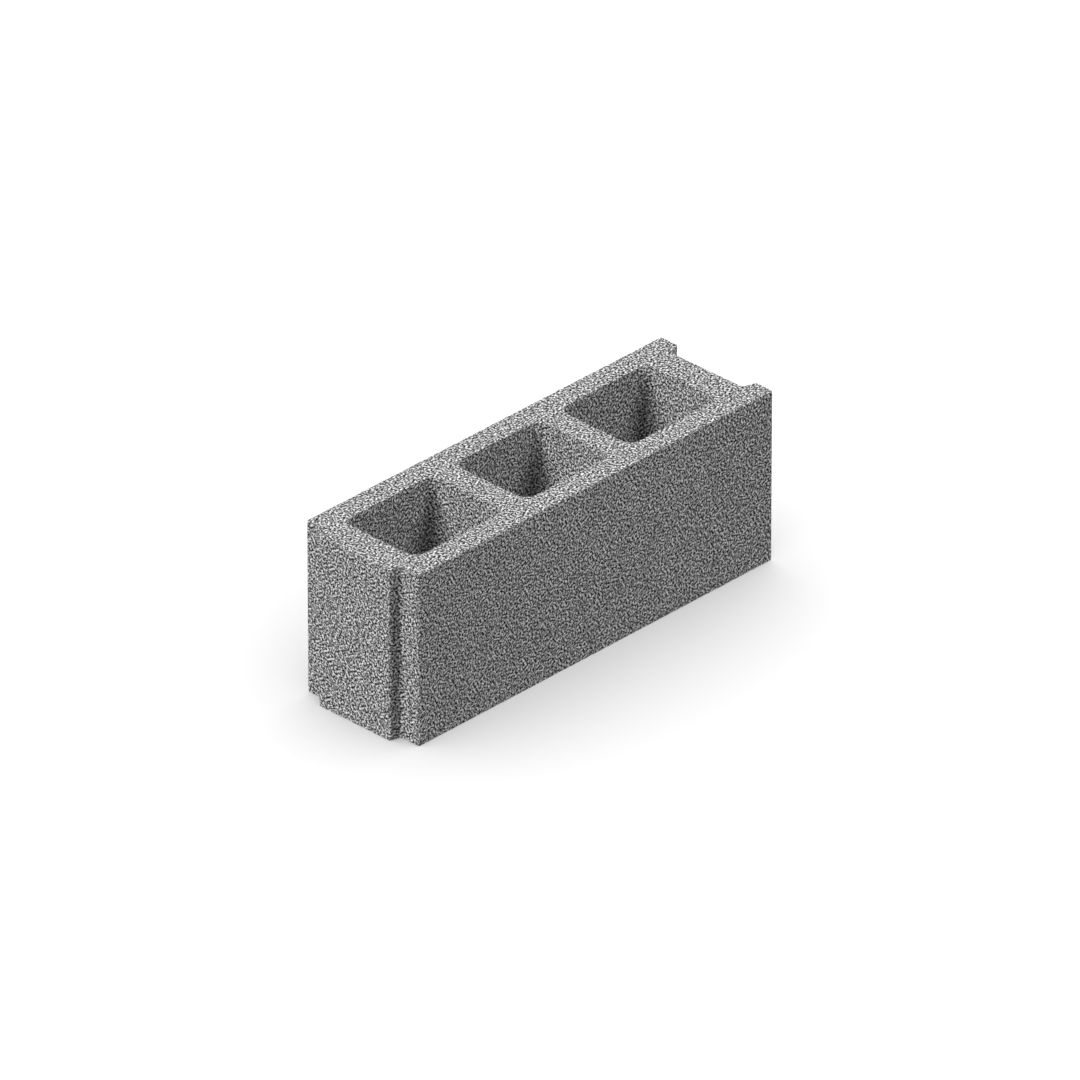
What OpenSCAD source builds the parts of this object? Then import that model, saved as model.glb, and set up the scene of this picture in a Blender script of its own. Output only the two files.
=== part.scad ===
// Hollow concrete block for walls, cast in one piece, with a row of cells and keyed ends.
// A trapezoid tongue stands out of one end and fits the groove in the other end of the next
// block. The cells lean in towards the bed, so that the mould's cores draw out upwards.
// Frame: X runs from the tongue to the groove, Y across the wall and Z up. The origin is the
// middle of the overall length and thickness, on the face that the block rests on.

/* [Block] */
// Length from the shoulders beside the tongue to the lips of the groove
block_length = 490; // [390:1:600]
// Thickness, across the wall
block_thickness = 150; // [120:1:300]
// Height
block_height = 190; // [90:1:250]

/* [Cells] */
// Number of cells in the row
cell_count = 3; // [1:1:3]
// How much shorter a cell between two webs is than the end cells
inner_cell_shortfall = 6; // [0:0.5:12]
// Thickness of the two long face shells, at the top
face_shell = 26.5; // [20:0.5:40]
// Thickness of the webs between the cells, at the top
web = 29; // [20:0.5:45]
// Wall between the shoulders of the tongue end and the first cell, at the top
tongue_end_wall = 23.5; // [18:0.5:45]
// Wall between the floor of the groove and the last cell, at the top
groove_end_wall = 33.5; // [18:0.5:45]
// Radius of the cells' upright corners, at the top
cell_corner_radius = 13; // [6:0.5:20]
// How far each wall of a cell leans in from the top to the bottom
cell_draft = 2.5; // [0.5:0.5:4]

/* [Tongue and groove] */
// Width of the shoulder on each side of the tongue
shoulder = 24; // [15:0.5:35]
// How far the tongue stands out from the shoulders
tongue_projection = 12; // [8:0.5:20]
// How far each flank of the tongue leans in from its root to its tip
tongue_lean = 3.5; // [1:0.5:6]
// Room between the tongue's flank and the groove's, on each side
flank_clearance = 1.5; // [0.5:0.5:4]
// Room between the tongue's tip and the floor of the groove
tip_clearance = 3; // [1:0.5:6]

/* [Edges] */
// Radius of the upright outer edges
arris_radius = 2; // [0.5:0.5:3]
// Radius in the two corners beside the tongue's root
root_radius = 3; // [0.5:0.5:4]
// Radius in the two corners of the groove's floor
groove_radius = 5; // [0.5:0.5:5]

/* [Hidden] */
$fn = 96;
// How far a cut runs past the faces that it opens
over = 5;

overall_length = block_length + tongue_projection;
tip_x = -overall_length / 2;
shoulder_x = tip_x + tongue_projection;
lip_x = overall_length / 2;
side_y = block_thickness / 2;

// Half widths of the tongue and of the groove that takes it, whose flanks have one slope
flank_slope = tongue_lean / tongue_projection;
root_y = side_y - shoulder;
tip_y = root_y - tongue_lean;
groove_depth = tongue_projection + tip_clearance;
floor_x = lip_x - groove_depth;
mouth_y = root_y + flank_clearance;
floor_y = mouth_y - flank_slope * groove_depth;

// The cells share the length that the end walls and the webs leave
cells_start = shoulder_x + tongue_end_wall;
cells_end = floor_x - groove_end_wall;
cells_length = cells_end - cells_start - (cell_count - 1) * web;
inner_cells = max(cell_count - 2, 0);
end_cell_length = (cells_length + inner_cells * inner_cell_shortfall) / cell_count;
cell_width = block_thickness - 2 * face_shell;

// Length and start of cell number i, counted from the tongue
function is_inner(i) = i > 0 && i < cell_count - 1;
function cell_length(i) = end_cell_length - (is_inner(i) ? inner_cell_shortfall : 0);
function cell_start(i) = i == 0 ? cells_start : cell_start(i - 1) + cell_length(i - 1) + web;

// Each corner of the outline is [x, y, radius], anticlockwise from the far shoulder
half_outline_tongue = [
    [shoulder_x, root_y, root_radius],
    [tip_x, tip_y, arris_radius]
];
half_outline_groove = [
    [shoulder_x, -side_y, arris_radius],
    [lip_x, -side_y, arris_radius],
    [lip_x, -mouth_y, arris_radius],
    [floor_x, -floor_y, groove_radius]
];
function mirrored(corners) = [for (i = [len(corners) - 1:-1:0]) [corners[i].x, -corners[i].y, corners[i].z]];
outline = concat(half_outline_tongue, mirrored(half_outline_tongue),
                 half_outline_groove, mirrored(half_outline_groove));

// Point of the outline before or after number i, counted round
function at(i) = let (n = len(outline)) [outline[(i + n) % n].x, outline[(i + n) % n].y];
function unit(v) = v / norm(v);
function turn(a, b) = a.x * b.y - a.y * b.x;

// Sliver between a corner of the outline and the arc that rounds it
module corner_sliver(i) {
    radius = outline[i].z;
    back = unit(at(i - 1) - at(i));
    ahead = unit(at(i + 1) - at(i));
    half_angle = acos(back * ahead) / 2;
    tangent = radius / tan(half_angle);
    centre = at(i) + unit(back + ahead) * radius / sin(half_angle);
    difference() {
        polygon([at(i), at(i) + back * tangent, centre, at(i) + ahead * tangent]);
        translate(centre) circle(r = radius);
    }
}

// The arc takes the sliver off a corner that points out, and adds it in a hollow one
module plan() {
    hollow = [for (i = [0:len(outline) - 1]) turn(at(i) - at(i - 1), at(i + 1) - at(i)) < 0];
    difference() {
        union() {
            polygon([for (corner = outline) [corner.x, corner.y]]);
            for (i = [0:len(outline) - 1]) if (hollow[i]) corner_sliver(i);
        }
        for (i = [0:len(outline) - 1]) if (!hollow[i]) corner_sliver(i);
    }
}

// Wedge that leans in by the draft from the top down, size wide there and depth through
module drafted_wedge(size, depth) {
    slope = cell_draft / block_height;
    low = size / 2 - cell_draft - slope * over;
    high = size / 2 + slope * over;
    rotate([90, 0, 0])
        linear_extrude(height = depth, center = true)
            polygon([[-low, -over], [low, -over], [high, block_height + over], [-high, block_height + over]]);
}

// One cell as a solid: two crossed wedges, with a cone that rounds each upright corner
module cell(length) {
    slope = cell_draft / block_height;
    corner_x = length / 2 - cell_corner_radius;
    corner_y = cell_width / 2 - cell_corner_radius;
    drafted_wedge(length, 2 * corner_y);
    rotate([0, 0, 90]) drafted_wedge(cell_width, 2 * corner_x);
    for (x = [-corner_x, corner_x], y = [-corner_y, corner_y])
        translate([x, y, -over])
            cylinder(h = block_height + 2 * over,
                     r1 = cell_corner_radius - cell_draft - slope * over,
                     r2 = cell_corner_radius + slope * over);
}

module block() {
    color("darkgray")
        difference() {
            linear_extrude(height = block_height) plan();
            for (i = [0:cell_count - 1])
                translate([cell_start(i) + cell_length(i) / 2, 0, 0]) cell(cell_length(i));
        }
}

block();
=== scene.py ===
"""Hollow concrete wall block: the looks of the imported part, on a pale studio floor.

The block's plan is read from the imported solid: the rims of its top and bottom faces. Its walls
and faces are meshed at about the size of the concrete's grit, and Geometry Nodes press the gaps
between the grains, uneven grains and crumbled arrises into that mesh.
"""

import math

import bmesh
import bpy
import numpy as np
from bpy.props import FloatProperty, FloatVectorProperty, IntProperty, PointerProperty, StringProperty
from mathutils import Matrix, Vector, geometry, kdtree


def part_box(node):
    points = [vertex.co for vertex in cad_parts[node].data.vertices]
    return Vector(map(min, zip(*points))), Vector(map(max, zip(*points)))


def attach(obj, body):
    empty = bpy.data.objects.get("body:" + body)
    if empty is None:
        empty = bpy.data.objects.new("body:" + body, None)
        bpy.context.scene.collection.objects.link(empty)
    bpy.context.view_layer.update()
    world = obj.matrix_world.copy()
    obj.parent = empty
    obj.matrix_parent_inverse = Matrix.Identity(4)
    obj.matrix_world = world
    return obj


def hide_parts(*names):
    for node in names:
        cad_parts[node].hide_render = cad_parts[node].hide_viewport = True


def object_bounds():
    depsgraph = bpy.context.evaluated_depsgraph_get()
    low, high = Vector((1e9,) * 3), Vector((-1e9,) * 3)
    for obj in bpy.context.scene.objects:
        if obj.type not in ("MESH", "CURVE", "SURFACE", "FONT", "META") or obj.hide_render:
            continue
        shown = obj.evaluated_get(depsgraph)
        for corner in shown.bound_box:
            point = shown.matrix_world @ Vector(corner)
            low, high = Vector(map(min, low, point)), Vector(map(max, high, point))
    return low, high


bl_info = {
    "name": "Hollow concrete block",
    "version": (1, 0, 0),
    "blender": (4, 5, 0),
    "location": "View3D > Sidebar > Block",
    "description": "Makes a hollow concrete wall block with an open, granular face, and its stage",
    "category": "Add Mesh",
}

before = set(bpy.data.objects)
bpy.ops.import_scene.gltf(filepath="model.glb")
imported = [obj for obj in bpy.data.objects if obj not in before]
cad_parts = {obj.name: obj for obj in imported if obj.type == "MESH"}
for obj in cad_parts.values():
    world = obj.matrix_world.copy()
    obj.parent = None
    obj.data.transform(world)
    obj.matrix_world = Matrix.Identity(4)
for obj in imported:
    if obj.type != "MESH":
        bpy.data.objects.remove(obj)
CAD_BOX = [list(corner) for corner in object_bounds()]
NODE = "block"
PIECE = "concrete_block"
MM = 0.001

# Points closer together than this are one point
SAME_PLACE = 0.001 * MM
# A point this close to a height lies at that height
SAME_LEVEL = 0.01 * MM
# Share of a step by which a mesh point lies off its place in a row. Under a quarter, no triangle turns over.
LOOSE = 0.22
# Least distance, in steps, from a face's own points to its rims
RIM_SPACE = 0.7
# How fast the mesh steps grow from the mouths of a cell to its middle
STEP_GROWTH = 1.12
# The two triangles of a quad that is cut along one diagonal or the other, with its corners
# numbered anticlockwise from the bottom left
RISING_CUT = ((0, 1, 2), (0, 2, 3))
FALLING_CUT = ((0, 1, 3), (1, 2, 3))
# Faces that meet at more than this angle meet in a sharp edge
SHARP_ANGLE = math.radians(45)
# The walls and faces laid flat on one sheet, in metres: the sheet's width and the room between them
SHEET_WIDTH = 0.95
SHEET_GAP = 8 * MM
# The sheet as the map that the grit is drawn on, turned so that no pattern lines up with the edges
FACE_MAP = "face_map"
FACE_MAP_TURN = math.radians(28)
# The sheet in the unit square, as a second map to bake on
BAKE_MAP = "OFBake"
# The attribute that says how near a point is to an arris
ARRIS = "arris"
# Heights in the grit, from 0 to 1: the bottom of a gap, the side of a grain and its top
GRIT_GAP = 0.383
GRIT_SIDE = 0.5
GRIT_TOP = 0.638
# How many times the grit is drawn again at half the size, and the share of its height that is left each time
GRIT_DETAIL = 4.0
GRIT_ROUGHNESS = 0.56
# How far the fine sand moves those heights in all, and how many times it is drawn again at half the size
SAND_SHARE = 0.1
SAND_DETAIL = 1.0
# Stone and cement have about the same IOR. Their broken surface is matt, most of all down in the gaps.
STONE_IOR = 1.5
STONE_SPECULAR = 0.1
TOP_ROUGHNESS = 0.8
GAP_ROUGHNESS = 1.0
# Roughness of the floor's paint
FLOOR_ROUGHNESS = 0.9


def linear(colour):
    """A colour of the form #rrggbb, in sRGB, as linear red, green, blue and alpha."""
    shares = [int(colour[i : i + 2], 16) / 255 for i in (1, 3, 5)]
    return (*[s / 12.92 if s <= 0.04045 else ((s + 0.055) / 1.055) ** 2.4 for s in shares], 1.0)


def plain(name):
    """A name in lower case, with _ for a space."""
    return name.lower().replace(" ", "_")


def add_node(tree, kind, settings=None, **links):
    """Adds a node. settings are its properties, and links its inputs: values, or other nodes' outputs.

    An input is named by its plain name, or by in_ and its number.
    """
    node = tree.nodes.new(kind)
    for name, value in (settings or {}).items():
        setattr(node, name, value)
    by_name = {}
    for socket in node.inputs:
        if socket.enabled:
            by_name.setdefault(plain(socket.name), socket)
    for name, value in links.items():
        socket = node.inputs[int(name.removeprefix("in_"))] if name.startswith("in_") else by_name[name]
        if isinstance(value, bpy.types.NodeSocket):
            tree.links.new(value, socket)
        else:
            socket.default_value = value
    return node


class BlockMeshSettings(bpy.types.PropertyGroup):
    """How finely the block is meshed, and how deep its grain is."""

    face_step: FloatProperty(
        name="Face step",
        description="Distance between mesh points on the outer faces and the top",
        default=2.15 * MM,
        unit="LENGTH",
    )
    cell_step: FloatProperty(
        name="Cell step",
        description="Distance between mesh points round the cells and on the bottom",
        default=2.8 * MM,
        unit="LENGTH",
    )
    deep_step: FloatProperty(
        name="Deep step",
        description="Distance between mesh points deep in the cells",
        default=6 * MM,
        unit="LENGTH",
    )
    gap_depth: FloatProperty(
        name="Gap depth",
        description="How deep the gaps between the grains of grit are",
        default=0.15 * MM,
        unit="LENGTH",
    )
    grain_depth: FloatProperty(
        name="Grain depth",
        description="How far the mesh points, about one to a grain, differ in height",
        default=0.05 * MM,
        unit="LENGTH",
    )
    wave_depth: FloatProperty(
        name="Wave depth",
        description="Depth of the slight waves in the faces",
        default=0.15 * MM,
        unit="LENGTH",
    )
    wave_length: FloatProperty(
        name="Wave length",
        description="Length of the waves in the faces",
        default=35 * MM,
        unit="LENGTH",
    )
    arris_width: FloatProperty(
        name="Arris width",
        description="How far from an edge the concrete crumbles",
        default=4 * MM,
        unit="LENGTH",
    )
    arris_depth: FloatProperty(
        name="Arris depth",
        description="How much crumbles off the edges",
        default=0.8 * MM,
        unit="LENGTH",
    )
    crumb_size: FloatProperty(
        name="Crumb size",
        description="Size of the crumbs that are missing from the edges",
        default=7 * MM,
        unit="LENGTH",
    )
    seed: IntProperty(name="Seed", description="Number that the grain is drawn from", default=7)


class ConcreteSettings(bpy.types.PropertyGroup):
    """Colours and grain of the concrete."""

    # The gap colour is near black as painted shade down in the gaps, and the grit side colour darkens each
    # grain towards them as painted shade. The grit top is the grain's own light grey.
    gap: StringProperty(name="Gap", description="Colour in the gaps, in sRGB", default="#141414")
    grit_side: StringProperty(name="Grit side", description="Colour round a grain of grit", default="#6e6e6e")
    grit_top: StringProperty(name="Grit top", description="Colour on top of a grain", default="#dcdcdc")
    grit_size: FloatProperty(
        name="Grit size", description="Width of a grain of grit", default=2.2 * MM, unit="LENGTH"
    )
    # Much of the real sand is finer than this. It would not show, so it is drawn this coarse.
    sand_size: FloatProperty(
        name="Sand size", description="Width of a grain of fine sand", default=0.9 * MM, unit="LENGTH"
    )
    bump_depth: FloatProperty(
        name="Bump depth",
        description="How far grains stand out in the shading",
        default=0.4 * MM,
        unit="LENGTH",
    )
    patch_size: FloatProperty(
        name="Patch size",
        description="Width of the patches where the cement is lighter or darker",
        default=14 * MM,
        unit="LENGTH",
    )
    patch_shade: FloatProperty(
        name="Patch shade",
        description="How much lighter or darker the patches are",
        default=0.25,
        subtype="FACTOR",
    )


class StageSettings(bpy.types.PropertyGroup):
    """Camera, light and floor."""

    azimuth: FloatProperty(
        name="Azimuth",
        description="Side that the camera stands on, where 0 looks along +Y",
        default=math.radians(-45.94),
        subtype="ANGLE",
    )
    elevation: FloatProperty(
        name="Elevation",
        description="Angle of the camera above the floor",
        default=math.radians(30.47),
        subtype="ANGLE",
    )
    distance: FloatProperty(
        name="Distance", description="From the camera to the block", default=20.0, unit="LENGTH"
    )
    frame_width: FloatProperty(
        name="Frame width", description="Width of the picture at the block", default=1.0396, unit="LENGTH"
    )
    aim: FloatVectorProperty(
        name="Aim",
        description="Middle of the picture, right of and above the block's middle as the camera sees it",
        default=(3.25 * MM, 2.4 * MM),
        size=2,
        unit="LENGTH",
    )
    key_direction: FloatVectorProperty(
        name="Key direction",
        description="Where the key light comes from",
        default=(-1.0, 0.25, 0.905),
        subtype="DIRECTION",
    )
    key_strength: FloatProperty(name="Key strength", description="Strength of the key light", default=3.67)
    fill_direction: FloatVectorProperty(
        name="Fill direction",
        description="Where the light on the sides away from the key light comes from",
        default=(0.28, -0.5, 0.82),
        subtype="DIRECTION",
    )
    fill_strength: FloatProperty(
        name="Fill strength", description="Strength of the light on those sides", default=2.27
    )
    back_direction: FloatVectorProperty(
        name="Back direction",
        description="Where the light on the block's far sides comes from",
        default=(1.0, 0.2, 0.03),
        subtype="DIRECTION",
    )
    back_strength: FloatProperty(
        name="Back strength", description="Strength of the light on the far sides", default=1.7
    )
    lamp_angle: FloatProperty(
        name="Lamp angle",
        description="Width of the lights on the block",
        default=math.radians(25),
        subtype="ANGLE",
    )
    sky_strength: FloatProperty(
        name="Sky strength", description="Strength of the light all round", default=0.3
    )
    floor_strength: FloatProperty(
        name="Floor strength", description="Strength of the light on the floor", default=3.6
    )
    floor_angle: FloatProperty(
        name="Floor angle",
        description="Width of the light on the floor, which makes its shadow soft",
        default=math.radians(150),
        subtype="ANGLE",
    )
    floor_size: FloatProperty(
        name="Floor size", description="Length of the floor's sides", default=120.0, unit="LENGTH"
    )
    floor: StringProperty(name="Floor", description="Colour of the floor, in sRGB", default="#e6e6e6")


# The block's plan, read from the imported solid


def rim_loops(node, level):
    """Closed loops of points, as [x, y], where a flat face of the node at that height meets its walls.

    The material lies left of each loop, so the outer loop runs anticlockwise and the others clockwise.
    They come in the order of their lowest X, so the outer loop is the first.
    """
    mesh = bmesh.new()
    mesh.from_mesh(node.data)
    bmesh.ops.remove_doubles(mesh, verts=mesh.verts, dist=SAME_PLACE)
    mesh.normal_update()
    flat = {f for f in mesh.faces if all(abs(vert.co.z - level) < SAME_LEVEL for vert in f.verts)}
    following = {}
    for edge in mesh.edges:
        faces = [face for face in edge.link_faces if face in flat]
        if len(edge.link_faces) == 2 and len(faces) == 1:
            corner = next(loop for loop in edge.link_loops if loop.face == faces[0])
            start, end = corner.vert, corner.link_loop_next.vert
            if faces[0].normal.z < 0:
                start, end = end, start
            following[tuple(start.co.xy)] = tuple(end.co.xy)
    mesh.free()
    loops = []
    while following:
        point = min(following)
        loop = []
        while point in following:
            loop.append(point)
            point = following.pop(point)
        loops.append(np.array(loop))
    return loops


def divided(loop, step):
    """The loop's points with each stretch between them divided evenly into steps of about that length.

    Returns the points, the unit tangent at each, and 1 where a point may move along its stretch.
    """
    points, tangents, free = [], [], []
    for start, end in zip(loop, np.roll(loop, -1, axis=0)):
        length = np.linalg.norm(end - start)
        count = max(1, round(length / step))
        for i in range(count):
            points.append(start + (end - start) * i / count)
            tangents.append((end - start) / length)
            free.append(float(i > 0))
    return np.array(points), np.array(tangents), np.array(free)


def graded_levels(height, end_step, middle_step):
    """Heights from 0 to height whose steps grow from the ends to the middle."""
    steps, reach = [], 0.0
    while reach < height / 2:
        steps.append(min(middle_step, end_step * STEP_GROWTH ** len(steps)))
        reach += steps[-1]
    half = np.concatenate([[0.0], np.cumsum(steps)]) * (height / 2) / reach
    return np.concatenate([half, height - half[-2::-1]])


def inside(points, loops):
    """Which points lie in the material, where a line from them crosses the loops an odd number of times."""
    odd = np.zeros(len(points), bool)
    for loop in loops:
        for (x0, y0), (x1, y1) in zip(loop, np.roll(loop, -1, axis=0)):
            if y0 == y1:
                continue
            crosses = (points[:, 1] >= min(y0, y1)) & (points[:, 1] < max(y0, y1))
            odd ^= crosses & (points[:, 0] < x0 + (points[:, 1] - y0) * (x1 - x0) / (y1 - y0))
    return odd


def at_level(points, level):
    """Points in the plan, as [x, y], lifted to a height."""
    return np.column_stack([points, np.full(len(points), level)])


def distances(points, others):
    """Distance from each point to the nearest of the others."""
    tree = kdtree.KDTree(len(others))
    for i, other in enumerate(others):
        tree.insert(other, i)
    tree.balance()
    return np.array([distance for _, _, distance in map(tree.find, points)])


# The block's mesh


class MeshParts:
    """Points and triangles gathered from the walls and faces, which it also lays flat in rows on a sheet."""

    def __init__(self):
        self.points, self.triangles, self.places = [], [], []
        self.count = 0
        self.right = self.up = self.row_height = 0.0

    def add_points(self, points):
        """Points as [x, y, z]. Returns their numbers."""
        first = self.count
        self.points.append(points)
        self.count += len(points)
        return np.arange(first, self.count)

    def add_triangles(self, triangles, places):
        """Triangles as point numbers, and the flat place of each of their corners."""
        low = places.min(axis=(0, 1))
        width, height = places.max(axis=(0, 1)) - low
        if self.right > 0 and self.right + width > SHEET_WIDTH:
            self.up += self.row_height + SHEET_GAP
            self.right = self.row_height = 0.0
        self.triangles.append(triangles)
        self.places.append(places - low + [self.right, self.up])
        self.right += width + SHEET_GAP
        self.row_height = max(self.row_height, height)


def add_wall(parts, loop, step, levels, draft, random):
    """A wall along a loop, from the bottom level to the top one, which leans in by the draft downwards.

    Returns the numbers of its bottom points and of its top points.
    """
    points, tangents, free = divided(loop, step)
    columns, rows = len(points), len(levels)
    mean_tangents = tangents + np.roll(tangents, 1, axis=0)
    mean_tangents /= np.linalg.norm(mean_tangents, axis=1)[:, None]
    outward = np.stack([mean_tangents[:, 1], -mean_tangents[:, 0]], axis=1)

    # Each point is a little off its place along the wall and in height, apart from those on the rims
    slide = LOOSE * step * free * (random.random((rows, columns)) * 2 - 1)
    lift = LOOSE * np.gradient(levels)[:, None] * (random.random((rows, columns)) * 2 - 1)
    slide[[0, -1]] = 0
    lift[[0, -1]] = 0
    up = levels[:, None] + lift
    lean = draft * (levels[-1] - up) / (levels[-1] - levels[0])
    across = points + slide[..., None] * tangents + lean[..., None] * outward
    numbers = parts.add_points(np.concatenate([across, up[..., None]], axis=2).reshape(-1, 3))
    numbers = numbers.reshape(rows, columns)

    # Laid flat, the wall ends in one more column, which is its first one again
    lengths = np.linalg.norm(np.roll(points, -1, axis=0) - points, axis=1)
    along = np.concatenate([[0.0], np.cumsum(lengths)])
    flat = np.stack([along[:-1] + slide, up], axis=2)
    flat = np.concatenate([flat, np.stack([np.full(rows, along[-1]), up[:, 0]], axis=1)[:, None]], axis=1)
    numbers = np.concatenate([numbers, numbers[:, :1]], axis=1)
    quads = np.stack([numbers[:-1, :-1], numbers[:-1, 1:], numbers[1:, 1:], numbers[1:, :-1]], axis=2)
    places = np.stack([flat[:-1, :-1], flat[:-1, 1:], flat[1:, 1:], flat[1:, :-1]], axis=2)
    # Chance cuts half of the quads along one diagonal and half along the other
    rising = random.random((rows - 1, columns)) < 1 / 2
    halves = np.where(rising[..., None, None], RISING_CUT, FALLING_CUT)
    triangles = np.take_along_axis(quads[:, :, None], halves, axis=3)
    corners = np.take_along_axis(places[:, :, None], halves[..., None], axis=3)

    # A wall longer than the sheet is wide is laid there in two stretches, parted at a corner near its middle
    fold = columns
    if along[-1] > SHEET_WIDTH:
        turns = np.flatnonzero(free == 0)
        fold = turns[np.argmin(abs(along[turns] - along[-1] / 2))]
    for stretch in (slice(0, fold), slice(fold, columns)):
        if stretch.start < stretch.stop:
            parts.add_triangles(triangles[:, stretch].reshape(-1, 3), corners[:, stretch].reshape(-1, 3, 2))
    return numbers[0, :-1], numbers[-1, :-1]


def add_face(parts, rims, level, step, upward, random):
    """A flat face filled with scattered points. Each rim is a pair: its point numbers and their [x, y]."""
    rim_numbers = np.concatenate([numbers for numbers, _ in rims])
    loops = [points for _, points in rims]
    rim_points = np.concatenate(loops)
    low, high = rim_points.min(axis=0), rim_points.max(axis=0)
    # Points in staggered rows, each a little off its place
    columns = np.arange(low[0], high[0], step)
    rows = np.arange(low[1], high[1], step * math.sqrt(3) / 2)
    grid = np.stack(np.meshgrid(columns, rows), axis=2)
    grid[1::2, :, 0] += step / 2
    grid = grid.reshape(-1, 2)
    grid += LOOSE * step * (random.random(grid.shape) * 2 - 1)
    grid = grid[inside(grid, loops)]
    grid = grid[distances(at_level(grid, 0), at_level(rim_points, 0)) > RIM_SPACE * step]

    edges, first = [], 0
    for points in loops:
        count = len(points)
        edges += [(first + i, first + (i + 1) % count) for i in range(count)]
        first += count
    flat = np.concatenate([rim_points, grid])
    # The triangles cover the whole hull, and those that lie in the material are kept
    whole_hull = 0
    joined, _, faces, sources, _, _ = geometry.delaunay_2d_cdt(
        [Vector(point) for point in flat], edges, [], whole_hull, SAME_PLACE
    )
    if len(joined) != len(flat):
        raise RuntimeError("the rims of a flat face cross")
    order = np.array([source[0] for source in sources])
    triangles = order[np.array(faces)]
    triangles = triangles[inside(flat[triangles].mean(axis=1), loops)]
    if not upward:
        triangles = triangles[:, ::-1]
    own_numbers = parts.add_points(at_level(grid, level))
    parts.add_triangles(np.concatenate([rim_numbers, own_numbers])[triangles], flat[triangles])


def block_parts(settings, low, high):
    """The block's walls and faces between two heights. Returns them and the points of all their rims."""
    top_rims = rim_loops(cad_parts[NODE], high)
    bottom_rims = rim_loops(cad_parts[NODE], low)
    if len(top_rims) != len(bottom_rims):
        raise RuntimeError("the block's cells don't run through")
    random = np.random.default_rng(settings.seed)
    even = np.linspace(low, high, round((high - low) / settings.face_step) + 1)
    graded = low + graded_levels(high - low, settings.face_step, settings.deep_step)
    parts = MeshParts()
    bottoms, tops = [], []
    for i, (top, bottom) in enumerate(zip(top_rims, bottom_rims)):
        step = settings.face_step if i == 0 else settings.cell_step
        levels = even if i == 0 else graded
        draft = (np.ptp(top[:, 0]) - np.ptp(bottom[:, 0])) / 2
        for rims, numbers in zip((bottoms, tops), add_wall(parts, top, step, levels, draft, random)):
            rims.append((numbers, np.concatenate(parts.points)[numbers][:, :2]))
    add_face(parts, tops, high, settings.face_step, True, random)
    add_face(parts, bottoms, low, settings.cell_step, False, random)
    rim_points = [at_level(loop, level) for rims, level in ((tops, high), (bottoms, low)) for _, loop in rims]
    return parts, np.concatenate(rim_points)


def block_mesh(settings):
    """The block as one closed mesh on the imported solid's faces, with a flat map of its surface."""
    low, high = (corner[2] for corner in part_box(NODE))
    parts, rim_points = block_parts(settings, low, high)
    points = np.concatenate(parts.points)
    triangles = np.concatenate(parts.triangles)
    places = np.concatenate(parts.places).reshape(-1, 2)
    mesh = bpy.data.meshes.new(PIECE)
    mesh.from_pydata(points.tolist(), [], triangles.tolist())
    mesh.polygons.foreach_set("use_smooth", np.ones(len(triangles), bool))
    turned = places @ np.array(Matrix.Rotation(FACE_MAP_TURN, 2))
    for name, flat in ((FACE_MAP, turned), (BAKE_MAP, places / places.max())):
        mesh.uv_layers.new(name=name).data.foreach_set("uv", flat.ravel())
    # 1 on the rims of the top and bottom faces, and 0 from the arris width on
    nearness = np.clip(1 - distances(points, rim_points) / settings.arris_width, 0, 1)
    mesh.attributes.new(ARRIS, "FLOAT", "POINT").data.foreach_set("value", nearness.astype(np.float32))
    mesh.update()
    mesh.set_sharp_from_angle(angle=SHARP_ANGLE)
    return mesh


# The grain of the concrete


def grit_height(tree, place, finish):
    """Height in the grit at a place on the face map, drawn alike in the mesh and in the material."""
    return add_node(
        tree,
        "ShaderNodeTexNoise",
        {"noise_dimensions": "2D"},
        vector=place,
        scale=1 / finish.grit_size,
        detail=GRIT_DETAIL,
        roughness=GRIT_ROUGHNESS,
    ).outputs[0]


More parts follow.
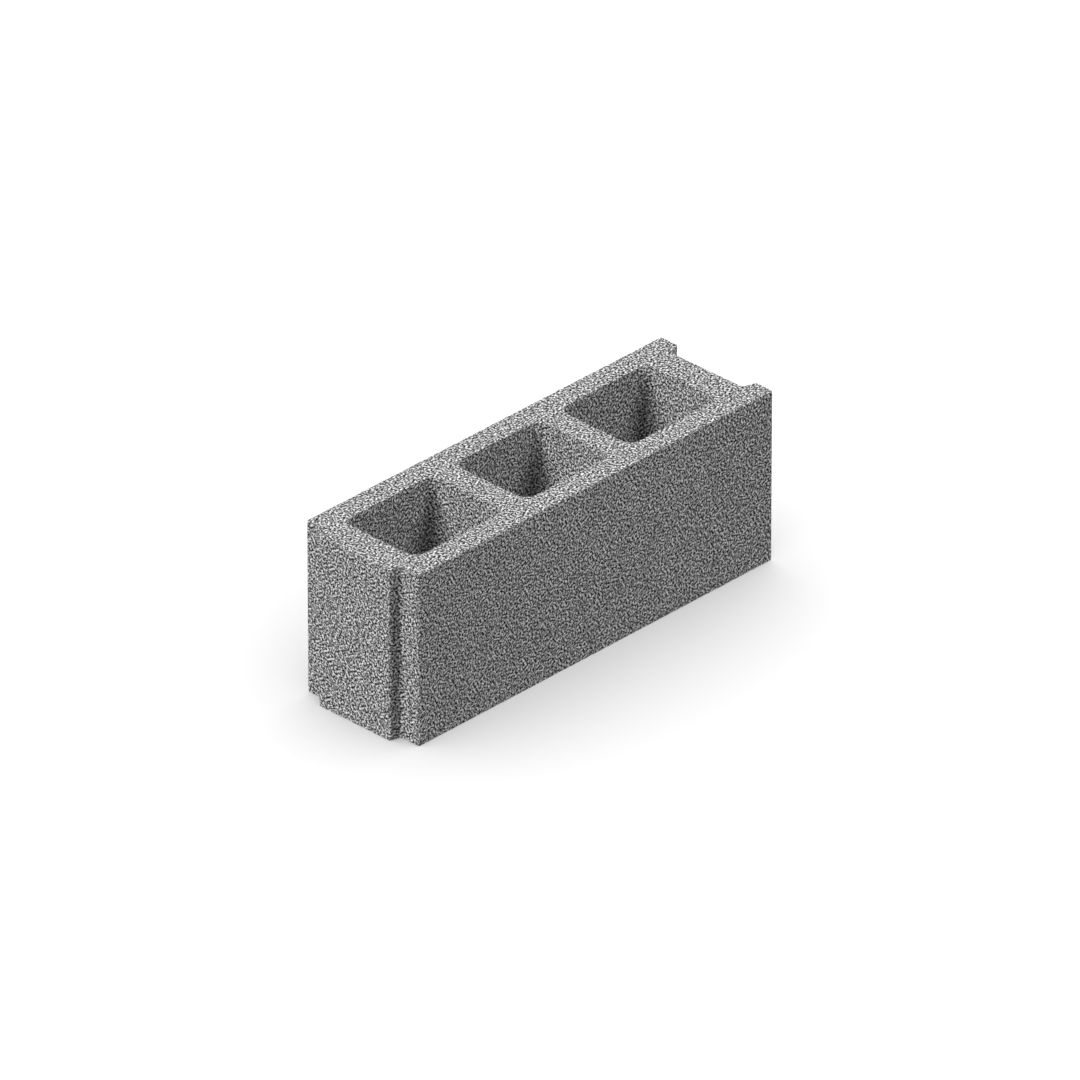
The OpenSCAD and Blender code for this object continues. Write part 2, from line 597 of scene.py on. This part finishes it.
def pressed_face_tree(finish):
    """Geometry Nodes that press gaps, grains and crumbled arrises into the faces, always inwards."""
    tree = bpy.data.node_groups.new("Pressed concrete face", "GeometryNodeTree")
    tree.interface.new_socket(name="Geometry", in_out="OUTPUT", socket_type="NodeSocketGeometry")
    tree.interface.new_socket(name="Geometry", in_out="INPUT", socket_type="NodeSocketGeometry")
    for name in ("Gap depth", "Grain depth", "Wave depth", "Wave length", "Arris depth", "Crumb size"):
        tree.interface.new_socket(name=name, in_out="INPUT", socket_type="NodeSocketFloat")
    tree.interface.new_socket(name="Seed", in_out="INPUT", socket_type="NodeSocketInt")
    tree.interface.new_socket(name="Material", in_out="INPUT", socket_type="NodeSocketMaterial")
    given = add_node(tree, "NodeGroupInput").outputs

    where = add_node(tree, "GeometryNodeInputPosition").outputs[0]
    place = add_node(tree, "GeometryNodeInputNamedAttribute", {"data_type": "FLOAT_VECTOR"}, name=FACE_MAP)
    gap = add_node(
        tree,
        "ShaderNodeMapRange",
        {"interpolation_type": "SMOOTHSTEP"},
        value=grit_height(tree, place.outputs["Attribute"], finish),
        from_min=GRIT_TOP,
        from_max=GRIT_GAP,
    ).outputs[0]
    grain = add_node(tree, "FunctionNodeRandomValue", {"data_type": "FLOAT"}, seed=given["Seed"]).outputs[1]
    noises = []
    for name in ("Wave length", "Crumb size"):
        scale = add_node(tree, "ShaderNodeMath", {"operation": "DIVIDE"}, in_0=1.0, in_1=given[name])
        noises.append(add_node(tree, "ShaderNodeTexNoise", vector=where, scale=scale.outputs[0]).outputs[0])
    wave, crumb = noises
    arris = add_node(tree, "GeometryNodeInputNamedAttribute", {"data_type": "FLOAT"}, name=ARRIS)
    crumbled = add_node(
        tree, "ShaderNodeMath", {"operation": "MULTIPLY"}, in_0=crumb, in_1=arris.outputs["Attribute"]
    ).outputs[0]
    depth = 0.0
    for share, name in ((gap, "Gap"), (grain, "Grain"), (wave, "Wave"), (crumbled, "Arris")):
        depth = add_node(
            tree,
            "ShaderNodeMath",
            {"operation": "MULTIPLY_ADD"},
            in_0=share,
            in_1=given[f"{name} depth"],
            in_2=depth,
        ).outputs[0]
    outwards = add_node(tree, "GeometryNodeInputNormal").outputs[0]
    pressed_in = add_node(tree, "ShaderNodeMath", {"operation": "MULTIPLY"}, in_0=depth, in_1=-1.0)
    offset = add_node(
        tree, "ShaderNodeVectorMath", {"operation": "SCALE"}, vector=outwards, scale=pressed_in.outputs[0]
    )
    pressed = add_node(
        tree, "GeometryNodeSetPosition", geometry=given["Geometry"], offset=offset.outputs[0]
    )
    real = add_node(tree, "GeometryNodeRealizeInstances", geometry=pressed.outputs[0])
    painted = add_node(tree, "GeometryNodeSetMaterial", geometry=real.outputs[0], material=given["Material"])
    add_node(tree, "NodeGroupOutput", geometry=painted.outputs[0])
    return tree


def concrete_material(finish):
    """Dry-pressed concrete: matt grit in all shades of grey, with painted shade that darkens each grain
    towards the open gaps between, which are painted near black.
    """
    material = bpy.data.materials.new("dry_pressed_concrete")
    material.use_nodes = True
    tree = material.node_tree
    tree.nodes.clear()
    where = add_node(tree, "ShaderNodeTexCoord").outputs["Object"]
    place = add_node(tree, "ShaderNodeUVMap", {"uv_map": FACE_MAP}).outputs[0]
    sand = add_node(tree, "ShaderNodeTexNoise", vector=where, scale=1 / finish.sand_size, detail=SAND_DETAIL)
    # The fine sand is added by as much upwards as downwards
    sand_height = add_node(
        tree,
        "ShaderNodeMapRange",
        {"clamp": False},
        value=sand.outputs[0],
        to_min=-SAND_SHARE / 2,
        to_max=SAND_SHARE / 2,
    )
    height = add_node(
        tree,
        "ShaderNodeMath",
        {"operation": "ADD"},
        in_0=grit_height(tree, place, finish),
        in_1=sand_height.outputs[0],
    ).outputs[0]
    # The colour follows the height in the grit: the grain's own grey on top, then painted shade that darkens
    # it down the sides to near black in the gaps, where shade falls
    tone = add_node(tree, "ShaderNodeValToRGB", fac=height)
    grit_and_gap_shade_ramp = tone.color_ramp
    grit_and_gap_shade_ramp.elements.new(GRIT_SIDE)
    stops = ((GRIT_GAP, finish.gap), (GRIT_SIDE, finish.grit_side), (GRIT_TOP, finish.grit_top))
    for element, (level, colour) in zip(grit_and_gap_shade_ramp.elements, stops):
        element.position = level
        element.color = linear(colour)
    # The cement is never mixed quite evenly, so it is lighter in some patches
    patch = add_node(tree, "ShaderNodeTexNoise", vector=where, scale=1 / finish.patch_size)
    shade = add_node(
        tree,
        "ShaderNodeMapRange",
        value=patch.outputs[0],
        to_min=1 - finish.patch_shade,
        to_max=1 + finish.patch_shade,
    )
    shaded = add_node(
        tree,
        "ShaderNodeMix",
        {"data_type": "RGBA", "blend_type": "MULTIPLY", "clamp_result": True},
        factor=1.0,
        a=tone.outputs[0],
        b=shade.outputs[0],
    )
    roughness = add_node(
        tree,
        "ShaderNodeMapRange",
        value=height,
        from_min=GRIT_TOP,
        from_max=GRIT_GAP,
        to_min=TOP_ROUGHNESS,
        to_max=GAP_ROUGHNESS,
    )
    stands_out = add_node(
        tree, "ShaderNodeMapRange", value=height, from_min=GRIT_GAP, from_max=GRIT_TOP
    ).outputs[0]
    bump = add_node(tree, "ShaderNodeBump", strength=1.0, distance=finish.bump_depth, height=stands_out)
    shader = add_node(
        tree,
        "ShaderNodeBsdfPrincipled",
        base_color=shaded.outputs[2],
        roughness=roughness.outputs[0],
        ior=STONE_IOR,
        specular_ior_level=STONE_SPECULAR,
        normal=bump.outputs[0],
    )
    add_node(tree, "ShaderNodeOutputMaterial", surface=shader.outputs[0])
    return material


class CONCRETE_OT_block(bpy.types.Operator):
    """Make the block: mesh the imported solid's faces and press the grain into them"""

    bl_idname = "concrete.block"
    bl_label = "Concrete block"

    def execute(self, context):
        settings = context.scene.concrete_block_mesh
        finish = context.scene.concrete_block_finish
        piece = bpy.data.objects.new(PIECE, block_mesh(settings))
        context.scene.collection.objects.link(piece)
        tree = pressed_face_tree(finish)
        modifier = piece.modifiers.new("Pressed face", "NODES")
        modifier.node_group = tree
        for item in tree.interface.items_tree:
            if item.in_out == "INPUT" and hasattr(settings, plain(item.name)):
                modifier[item.identifier] = getattr(settings, plain(item.name))
            elif item.name == "Material":
                modifier[item.identifier] = concrete_material(finish)
        context.view_layer.update()
        evaluated = piece.evaluated_get(context.evaluated_depsgraph_get())
        pressed = bpy.data.meshes.new_from_object(evaluated)
        piece.modifiers.clear()
        piece.data = pressed
        pressed.name = PIECE
        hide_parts(NODE)
        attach(piece, "root")
        return {"FINISHED"}


# The stage


def floor_paint(colour):
    """Matt floor paint: one even, pale colour with hardly any gloss, so that only the shadow shows on it."""
    paint = bpy.data.materials.new("matt_floor_paint")
    paint.use_nodes = True
    surface = paint.node_tree.nodes["Principled BSDF"]
    surface.inputs["Base Color"].default_value = linear(colour)
    surface.inputs["Roughness"].default_value = FLOOR_ROUGHNESS
    return paint


def add_floor(scene, settings):
    """A flat floor that takes the block's shadow but throws no light back on the block's sides."""
    half = settings.floor_size / 2
    corners = [(-half, -half, 0), (half, -half, 0), (half, half, 0), (-half, half, 0)]
    ground = bpy.data.meshes.new("floor")
    ground.from_pydata(corners, [], [(0, 1, 2, 3)])
    ground.materials.append(floor_paint(settings.floor))
    floor = bpy.data.objects.new("floor", ground)
    scene.collection.objects.link(floor)
    floor.visible_diffuse = False
    floor.visible_shadow = False
    return floor


def add_lights(scene, settings, block, floor):
    """Three lights for the block alone, a wide one for the floor alone, and an even sky for both."""
    for name, direction, strength, angle, lit in (
        ("key", settings.key_direction, settings.key_strength, settings.lamp_angle, block),
        ("fill", settings.fill_direction, settings.fill_strength, settings.lamp_angle, block),
        ("back", settings.back_direction, settings.back_strength, settings.lamp_angle, block),
        ("floor_light", (0, 0, 1), settings.floor_strength, settings.floor_angle, floor),
    ):
        sun = bpy.data.lights.new(name, "SUN")
        sun.energy = strength
        sun.angle = angle
        lamp = bpy.data.objects.new(name, sun)
        lamp.rotation_euler = Vector(direction).to_track_quat("Z", "Y").to_euler()
        scene.collection.objects.link(lamp)
        lamp.light_linking.receiver_collection = bpy.data.collections.new(f"{name}_falls_on")
        lamp.light_linking.receiver_collection.objects.link(lit)

    scene.world = bpy.data.worlds.new("sky")
    scene.world.use_nodes = True
    sky = scene.world.node_tree.nodes["Background"]
    sky.inputs["Color"].default_value = (1, 1, 1, 1)
    sky.inputs["Strength"].default_value = settings.sky_strength


def add_camera(scene, settings):
    """A camera far off with a long lens, which keeps the block's edges nearly parallel."""
    azimuth, elevation = settings.azimuth, settings.elevation
    level = math.cos(elevation)
    back = Vector((math.sin(azimuth) * level, -math.cos(azimuth) * level, math.sin(elevation)))
    right = Vector((math.cos(azimuth), math.sin(azimuth), 0))
    up = back.cross(right)
    low, high = (Vector(corner) for corner in CAD_BOX)
    target = (low + high) / 2 + right * settings.aim[0] + up * settings.aim[1]
    lens = bpy.data.cameras.new("camera")
    lens.lens = lens.sensor_width * settings.distance / settings.frame_width
    lens.clip_end = 2 * settings.floor_size
    camera = bpy.data.objects.new("camera", lens)
    turn = Matrix((right, up, back)).transposed()
    camera.matrix_world = Matrix.Translation(target + back * settings.distance) @ turn.to_4x4()
    scene.collection.objects.link(camera)
    scene.camera = camera


class CONCRETE_OT_stage(bpy.types.Operator):
    """Make the floor, the light and the camera"""

    bl_idname = "concrete.stage"
    bl_label = "Stage"

    def execute(self, context):
        scene = context.scene
        settings = scene.concrete_block_stage
        scene.view_settings.view_transform = "Standard"
        floor = add_floor(scene, settings)
        add_lights(scene, settings, bpy.data.objects[PIECE], floor)
        add_camera(scene, settings)
        return {"FINISHED"}


class CONCRETE_PT_panel(bpy.types.Panel):
    """Lists the block's settings and its stage's"""

    bl_label = "Concrete block"
    bl_idname = "CONCRETE_PT_panel"
    bl_space_type = "VIEW_3D"
    bl_region_type = "UI"
    bl_category = "Block"

    def draw(self, context):
        scene = context.scene
        for operator, groups in (
            (CONCRETE_OT_block, (scene.concrete_block_mesh, scene.concrete_block_finish)),
            (CONCRETE_OT_stage, (scene.concrete_block_stage,)),
        ):
            column = self.layout.column()
            for settings in groups:
                for name in settings.__annotations__:
                    column.prop(settings, name)
            column.operator(operator.bl_idname)


CLASSES = (
    BlockMeshSettings,
    ConcreteSettings,
    StageSettings,
    CONCRETE_OT_block,
    CONCRETE_OT_stage,
    CONCRETE_PT_panel,
)


def register():
    for cls in CLASSES:
        bpy.utils.register_class(cls)
    bpy.types.Scene.concrete_block_mesh = PointerProperty(type=BlockMeshSettings)
    bpy.types.Scene.concrete_block_finish = PointerProperty(type=ConcreteSettings)
    bpy.types.Scene.concrete_block_stage = PointerProperty(type=StageSettings)


def unregister():
    del bpy.types.Scene.concrete_block_stage
    del bpy.types.Scene.concrete_block_finish
    del bpy.types.Scene.concrete_block_mesh
    for cls in reversed(CLASSES):
        bpy.utils.unregister_class(cls)


def main():
    """Makes the block and its stage."""
    register()
    bpy.ops.concrete.block()
    bpy.ops.concrete.stage()


if __name__ == "__main__":
    main()
